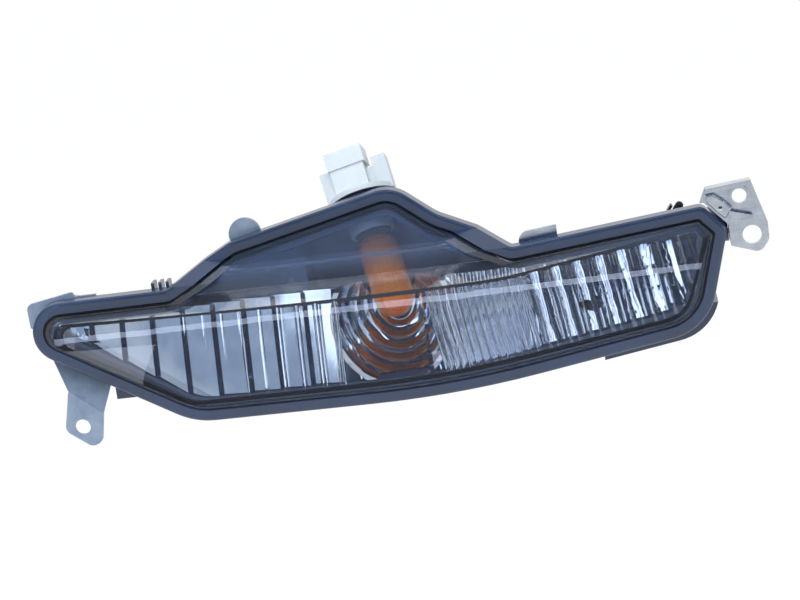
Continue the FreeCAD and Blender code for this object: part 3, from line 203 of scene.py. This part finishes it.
def lens_polycarbonate():
    """Clear moulded polycarbonate: polished, with faint flow clouds, and a little frosted on the hump, whose bluer
    tint is painted shade that darkens the view through it.
    """
    material, tree, shader, place = start_material("clear_polycarbonate", IOR=1.585)
    flow = add_node(tree, "ShaderNodeMapping", {"Vector": place}, {"Scale": (0.25, 1.0, 1.0)})
    haze = noise(tree, flow.outputs["Vector"], cell_mm=22.0, detail=2.0, roughness=0.5)
    height = add_node(tree, "ShaderNodeSeparateXYZ", {"Vector": place}).outputs["Z"]
    on_hump = remap(tree, height, HUMP_PAINTED_SHADE_HEIGHTS, (0.0, 1.0))
    # Painted shade: the hump is tinted blue, which darkens and cools what is seen through it.
    colour = add_node(
        tree,
        "ShaderNodeMix",
        {"Factor": on_hump, "A": two_tone(tree, haze, "#edf2f9", "#f4f8fc", high=0.75)},
        {"B": linear("#bfd1ee")},
        data_type="RGBA",
    )
    gloss = remap(tree, haze, (0.35, 0.75), (0.008, 0.03))
    frost = remap(tree, height, HUMP_FROST_HEIGHTS, (0.0, 0.08))
    blur = add_node(tree, "ShaderNodeMath", {0: gloss, 1: frost}, operation="ADD")
    feed(
        tree,
        shader,
        Base_Color=colour.outputs["Result"],
        Transmission_Weight=remap(tree, on_hump, (0.0, 1.0), (0.985, 0.945)),
        Roughness=blur.outputs["Value"],
    )
    return material


def butyl_sealant():
    """Extruded black butyl sealant: dark, slightly uneven and half matt."""
    material, tree, shader, place = start_material("black_butyl_sealant", Roughness=0.45)
    lumps = noise(tree, place, cell_mm=5.0, detail=3.0, roughness=0.6)
    feed(
        tree,
        shader,
        Base_Color=two_tone(tree, lumps, "#0d121c", "#1a2231", high=0.75),
        Normal=bump(tree, lumps, strength=0.25, depth_mm=0.3),
    )
    return material


def metallised_plastic():
    """Vapour-deposited aluminium on moulded plastic: a mirror with a trace of orange peel and haze."""
    material, tree, shader, place = start_material("vapour_aluminised_plastic", Metallic=1.0)
    haze = noise(tree, place, cell_mm=14.0, detail=2.0, roughness=0.5)
    peel = noise(tree, place, cell_mm=2.4, detail=1.0, roughness=0.5)
    feed(
        tree,
        shader,
        Base_Color=two_tone(tree, haze, "#c3cbd6", "#dde2e8", high=0.75),
        Roughness=remap(tree, haze, (0.35, 0.7), (0.03, 0.07)),
        Normal=bump(tree, peel, strength=0.02, depth_mm=0.1),
    )
    return material


def amber_glass():
    """Blown glass with an amber coat: clear orange, a little deeper in streaks."""
    material, tree, shader, place = start_material(
        "amber_coated_glass", IOR=1.5, Transmission_Weight=0.84, Roughness=0.05
    )
    streaks = noise(tree, place, cell_mm=9.0, detail=2.0, roughness=0.5)
    feed(tree, shader, Base_Color=two_tone(tree, streaks, "#ffa632", "#ffba50", high=0.75))
    return material


def clouded_plastic(name, dark, light, cloud_mm, grain_mm, roughness, grain_strength):
    """A moulded plastic or rubber with soft clouds of tone and a fine grain."""
    material, tree, shader, place = start_material(name, Roughness=roughness)
    clouds = noise(tree, place, cloud_mm, detail=3.0, roughness=0.5)
    grain = noise(tree, place, grain_mm, detail=2.0, roughness=0.6)
    feed(
        tree,
        shader,
        Base_Color=two_tone(tree, clouds, dark, light),
        Normal=bump(tree, grain, grain_strength, depth_mm=0.1),
    )
    return material


def natural_nylon():
    """Unfilled natural nylon: milky, half translucent, with a soft moulded sheen."""
    material = clouded_plastic(
        "natural_nylon", "#c9cecb", "#dce0dd", cloud_mm=16.0, grain_mm=0.8, roughness=0.36, grain_strength=0.06
    )
    shader = material.node_tree.nodes["Principled BSDF"]
    shader.inputs["Subsurface Weight"].default_value = 0.35
    shader.inputs["Subsurface Radius"].default_value = (1.0, 1.05, 1.0)
    shader.inputs["Subsurface Scale"].default_value = 1.6 * MM
    return material


def steel_sheet(name, dark, light, stretch, metallic, gloss):
    """Stamped or drawn metal: lines along its length, a mottled finish and fine handling marks."""
    material, tree, shader, place = start_material(name, Metallic=metallic)
    along = add_node(tree, "ShaderNodeMapping", {"Vector": place}, {"Scale": stretch})
    rolled = noise(tree, along.outputs["Vector"], cell_mm=1.4, detail=4.0, roughness=0.6)
    mottle = noise(tree, place, cell_mm=7.0, detail=3.0, roughness=0.55)
    feed(
        tree,
        shader,
        Base_Color=two_tone(tree, mottle, dark, light),
        Roughness=remap(tree, rolled, (0.3, 0.7), gloss),
        Normal=bump(tree, rolled, strength=0.12, depth_mm=0.05),
    )
    return material


def squeezed_bead(name, middle_mm, lean_degrees, length_mm, material):
    """A bead of sealant pressed into the channel's corner at one foot of the hump."""
    bpy.ops.object.select_all(action="DESELECT")
    bpy.ops.mesh.primitive_cylinder_add(
        vertices=BEAD_SIDES,
        radius=BEAD_RADIUS_MM * MM,
        depth=length_mm * MM,
        location=Vector(middle_mm) * MM,
        rotation=(0.0, math.radians(lean_degrees), 0.0),
    )
    bead = bpy.context.object
    bead.name = name
    bpy.ops.object.transform_apply(location=True, rotation=True, scale=True)
    ends = bead.modifiers.new("rounded_ends", "BEVEL")
    ends.width = BEAD_END_ROUND_MM * MM
    ends.segments = BEAD_END_STEPS
    ends.limit_method = "ANGLE"
    ends.angle_limit = BEAD_EDGE
    bpy.ops.object.modifier_apply(modifier=ends.name)
    bpy.ops.object.shade_smooth_by_angle(angle=BEAD_EDGE)
    bead.data.materials.append(material)
    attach(bead, "lamp")


def around(azimuth, elevation, distance):
    """A place this many degrees round from the lens's front and above its level."""
    turn = math.radians(azimuth)
    rise = math.radians(elevation)
    way = Vector((math.sin(turn) * math.cos(rise), -math.cos(turn) * math.cos(rise), math.sin(rise)))
    return LAMP_MIDDLE + way * distance


def aim(place, target=LAMP_MIDDLE):
    """The matrix of a light or card at a place, facing a target."""
    toward = (Vector(target) - Vector(place)).normalized()
    return Matrix.Translation(place) @ toward.to_track_quat("-Z", "Y").to_matrix().to_4x4()


def soft_light(name, place, width, height, watts, mirrored=True, through_lens=True, code=DAYLIGHT):
    """A rectangular studio light aimed at the lamp.

    One that isn't mirrored lights matt surfaces only. One that isn't seen through the lens draws its
    highlights on the outside and leaves the reflector as it is.
    """
    lamp = bpy.data.lights.new(name, "AREA")
    lamp.shape = "RECTANGLE"
    lamp.size = width
    lamp.size_y = height
    lamp.energy = watts
    lamp.color = linear(code)[:3]
    light = bpy.data.objects.new(name, lamp)
    light.matrix_world = aim(place)
    light.visible_glossy = mirrored
    light.visible_transmission = mirrored and through_lens
    scene.collection.objects.link(light)


def add_card(name, matrix, width, height, code):
    """A coloured card out of the picture, whose reflection draws the metallised and clear pieces."""
    bpy.ops.object.select_all(action="DESELECT")
    bpy.ops.mesh.primitive_plane_add(size=1.0)
    card = bpy.context.object
    card.name = name
    card.matrix_world = matrix @ Matrix.Diagonal((width, height, 1.0, 1.0))
    material = bpy.data.materials.new(name + "_felt")
    material.use_nodes = True
    shader = material.node_tree.nodes["Principled BSDF"]
    shader.inputs["Base Color"].default_value = linear("#000000")
    shader.inputs["Roughness"].default_value = 1.0
    shader.inputs["Specular IOR Level"].default_value = 0.0
    shader.inputs["Emission Color"].default_value = linear(code)
    shader.inputs["Emission Strength"].default_value = 1.0
    card.data.materials.append(material)
    card.visible_camera = False
    card.visible_shadow = False
    card.visible_diffuse = False


def seen_or_mirrored(tree):
    """1 where the eye sees a surface directly or in a mirror, and 0 elsewhere."""
    path = add_node(tree, "ShaderNodeLightPath")
    either = add_node(
        tree,
        "ShaderNodeMath",
        {0: path.outputs["Is Camera Ray"], 1: path.outputs["Is Glossy Ray"]},
        operation="MAXIMUM",
    )
    return either.outputs["Value"]


def add_floor():
    """A pale floor below the lamp, white where nothing shades it."""
    bpy.ops.object.select_all(action="DESELECT")
    level = cad_box[0][2] - FLOOR_DROP
    bpy.ops.mesh.primitive_plane_add(size=FLOOR_SPAN, location=(LAMP_MIDDLE.x, LAMP_MIDDLE.y, level))
    floor = bpy.context.object
    floor.name = "studio_floor"
    material = bpy.data.materials.new("white_paper")
    material.use_nodes = True
    tree = material.node_tree
    shader = tree.nodes["Principled BSDF"]
    shader.inputs["Base Color"].default_value = linear("#f4f4f4")
    shader.inputs["Roughness"].default_value = 0.9
    glow = add_node(tree, "ShaderNodeEmission", values={"Color": linear("#ffffff"), "Strength": FLOOR_GLOW})
    share = add_node(
        tree, "ShaderNodeMath", {0: seen_or_mirrored(tree)}, {1: FLOOR_GLOW_SHARE}, operation="MULTIPLY"
    )
    mix = add_node(
        tree,
        "ShaderNodeMixShader",
        {0: share.outputs["Value"], 1: shader.outputs["BSDF"], 2: glow.outputs["Emission"]},
    )
    tree.links.new(mix.outputs["Shader"], tree.nodes["Material Output"].inputs["Surface"])
    floor.data.materials.append(material)


def add_world():
    """Soft light from all round: white to the eye and in outer mirrors, dim blue through the lens."""
    world = bpy.data.worlds.new("studio")
    scene.world = world
    world.use_nodes = True
    tree = world.node_tree
    tree.nodes.clear()
    fill = add_node(
        tree, "ShaderNodeBackground", values={"Color": linear("#dde8f8"), "Strength": FILL_STRENGTH}
    )
    white = add_node(tree, "ShaderNodeBackground", values={"Color": linear("#ffffff"), "Strength": 1.0})
    mix = add_node(
        tree,
        "ShaderNodeMixShader",
        {0: seen_or_mirrored(tree), 1: fill.outputs["Background"], 2: white.outputs["Background"]},
    )
    add_node(tree, "ShaderNodeOutputWorld", {"Surface": mix.outputs["Shader"]})


def add_camera():
    """The camera at the picture's angle, rolled so that the lamp climbs to the right."""
    back = Vector(
        (
            math.sin(VIEW_AZIMUTH) * math.cos(VIEW_ELEVATION),
            -math.cos(VIEW_AZIMUTH) * math.cos(VIEW_ELEVATION),
            math.sin(VIEW_ELEVATION),
        )
    )
    level = Vector((math.cos(VIEW_AZIMUTH), math.sin(VIEW_AZIMUTH), 0.0))
    rise = back.cross(level)
    right = level * math.cos(VIEW_ROLL) - rise * math.sin(VIEW_ROLL)
    up = level * math.sin(VIEW_ROLL) + rise * math.cos(VIEW_ROLL)
    eye = LAMP_MIDDLE + back * VIEW_DISTANCE + up * VIEW_LIFT
    data = bpy.data.cameras.new("camera")
    data.sensor_width = SENSOR_MM
    data.lens = VIEW_LENS_MM
    camera = bpy.data.objects.new("camera", data)
    camera.matrix_world = Matrix(
        (
            (right.x, up.x, back.x, eye.x),
            (right.y, up.y, back.y, eye.y),
            (right.z, up.z, back.z, eye.z),
            (0.0, 0.0, 0.0, 1.0),
        )
    )
    scene.collection.objects.link(camera)
    scene.camera = camera


zinc = steel_sheet(
    "bright_zinc_plated_steel", "#b9c3cf", "#d6dde5", stretch=(0.12, 1.0, 1.0), metallic=1.0, gloss=(0.22, 0.34)
)
grey_coat = steel_sheet(
    "grey_coated_steel", "#8291a1", "#9ca9b7", stretch=(1.0, 1.0, 0.12), metallic=0.35, gloss=(0.30, 0.44)
)
brass = steel_sheet(
    "stamped_brass", "#b98f45", "#d3ad62", stretch=(1.0, 1.0, 0.2), metallic=1.0, gloss=(0.22, 0.34)
)
tungsten = steel_sheet(
    "drawn_tungsten_wire", "#75787d", "#93979c", stretch=(1.0, 0.2, 1.0), metallic=1.0, gloss=(0.3, 0.42)
)
base_plastic = clouded_plastic(
    "mineral_filled_bulb_base", "#45423c", "#5b574f", cloud_mm=6.0, grain_mm=0.7, roughness=0.5, grain_strength=0.12
)
rubber = clouded_plastic(
    "black_rubber", "#101216", "#1d2026", cloud_mm=5.0, grain_mm=0.6, roughness=0.6, grain_strength=0.2
)
polyamide = clouded_plastic(
    "black_polyamide", "#0b0d11", "#171a20", cloud_mm=8.0, grain_mm=0.7, roughness=0.38, grain_strength=0.15
)
sealant = butyl_sealant()

dress(housing_polypropylene(), "housing")
dress(lens_polycarbonate(), "lens")
dress(sealant, "lens_seal")
dress(metallised_plastic(), "reflector")
dress(amber_glass(), "bulb_glass")
dress(base_plastic, "bulb_base")
dress(tungsten, "bulb_filament")
dress(natural_nylon(), "bulb_holder")
dress(brass, "holder_terminals")
dress(rubber, "holder_seal")
dress(zinc, "outer_bracket", "outer_bracket_screws", "inner_bracket_screws")
dress(zinc, "centre_tab", "centre_tab_screw", "round_tab_screw")
dress(grey_coat, "inner_bracket", "round_tab")
dress(polyamide, "retaining_clip", "reflector_pin")

# The clear pieces let the studio light through to what is behind them.
for name in ("lens", "bulb_glass"):
    nodes[name].visible_shadow = False

squeezed_bead("left_foot_bead", LEFT_FOOT_MM, LEFT_FOOT_LEAN, LEFT_BEAD_LENGTH_MM, sealant)
squeezed_bead("right_foot_bead", RIGHT_FOOT_MM, RIGHT_FOOT_LEAN, RIGHT_BEAD_LENGTH_MM, sealant)

add_world()
add_floor()
add_camera()

# Dark felt round the lamp and above it, which the clear and metallised pieces mirror as navy.
add_card("front_card", aim(around(0.0, CARD_RISE, CARD_DISTANCE)), 3.4, CARD_HEIGHT, NAVY_FELT)
for side, turn in (("left", -SIDE_CARD_TURN), ("right", SIDE_CARD_TURN)):
    add_card(side + "_card", aim(around(turn, CARD_RISE, CARD_DISTANCE)), SIDE_CARD_WIDTH, CARD_HEIGHT, NAVY_FELT)
add_card("roof_card", aim(around(0.0, 80.0, CARD_DISTANCE)), 3.0, 3.0, NAVY_FELT)
add_card("floor_card", aim(FLOOR_CARD_PLACE, FLOOR_CARD_PLACE + Vector((0.0, 0.0, 1.0))), 7.0, 6.0, "#3a4a63")

# Two pale cards in front of the felt, which fill the comb of facets at the left.
add_card("comb_card", aim(around(-40.5, 12.0, 1.45)), 0.20, 0.5, "#eef4fc")
add_card("column_card", aim(around(-34.5, 12.0, 1.50)), 0.14, 0.5, "#bccbe0")

# Two softboxes for the matt pieces, then the lights that draw bright lines: the top strip on the rim,
# three round the front in the facets, reeds and pillows, and one band across the lens.
soft_light("key_softbox", around(-30.0, 45.0, 1.3), width=1.0, height=0.8, watts=10.0, mirrored=False)
soft_light("top_softbox", (-0.25, -0.30, 1.15), width=1.2, height=0.6, watts=6.0, mirrored=False)
soft_light("top_strip", (-0.20, -0.15, 1.10), width=1.8, height=0.20, watts=4.5, through_lens=False)
soft_light("comb_softbox", around(-27.5, 11.0, LIGHT_DISTANCE), width=0.27, height=0.35, watts=0.75)
soft_light("left_strip", around(-75.0, 7.5, LIGHT_DISTANCE), width=0.95, height=0.2, watts=1.1, code="#b9cff5")
soft_light("right_softbox", around(64.0, 9.0, LIGHT_DISTANCE), width=0.85, height=0.65, watts=4.6)
soft_light("strip_light", (-0.16, -1.28, 0.57), width=2.4, height=0.05, watts=2.0, code="#d3e2ff")
